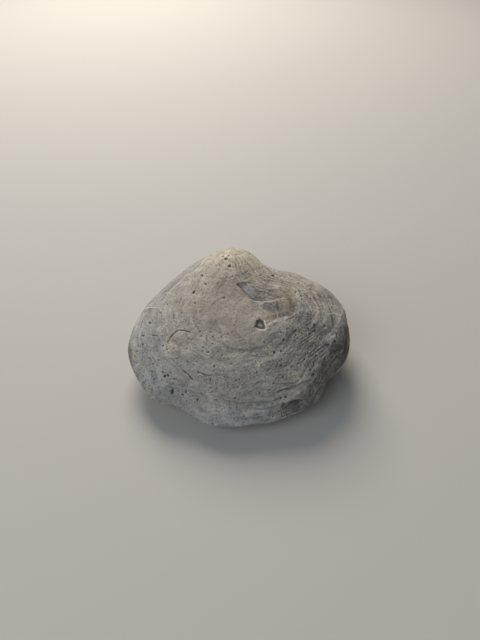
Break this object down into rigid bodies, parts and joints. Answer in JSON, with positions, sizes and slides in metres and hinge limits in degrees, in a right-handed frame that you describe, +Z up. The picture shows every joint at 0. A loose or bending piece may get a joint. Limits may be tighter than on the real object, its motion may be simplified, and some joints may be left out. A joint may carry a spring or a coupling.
{
  "type": "fossil clam",
  "caption": "Shut fossil clam of grey limestone: both valves with their beaks, growth ridges, worn ledges, pits and cracks, lying on a small worn flat.",
  "frame": {"origin": "on the surface the stone rests on, under the middle of its bounding box", "axes": "+X along the stone's length to the rounder end that the beaks point to, +Y to the beaks, +Z up"},
  "size_m": [0.07, 0.062, 0.0288],
  "materials": {
    "limestone": "dry matt limestone, warm grey at the beaks and cooler grey at the front edge, with dark pits"
  },
  "bodies": {
    "root": {"fossil_clam": "limestone"}
  },
  "joints": []
}
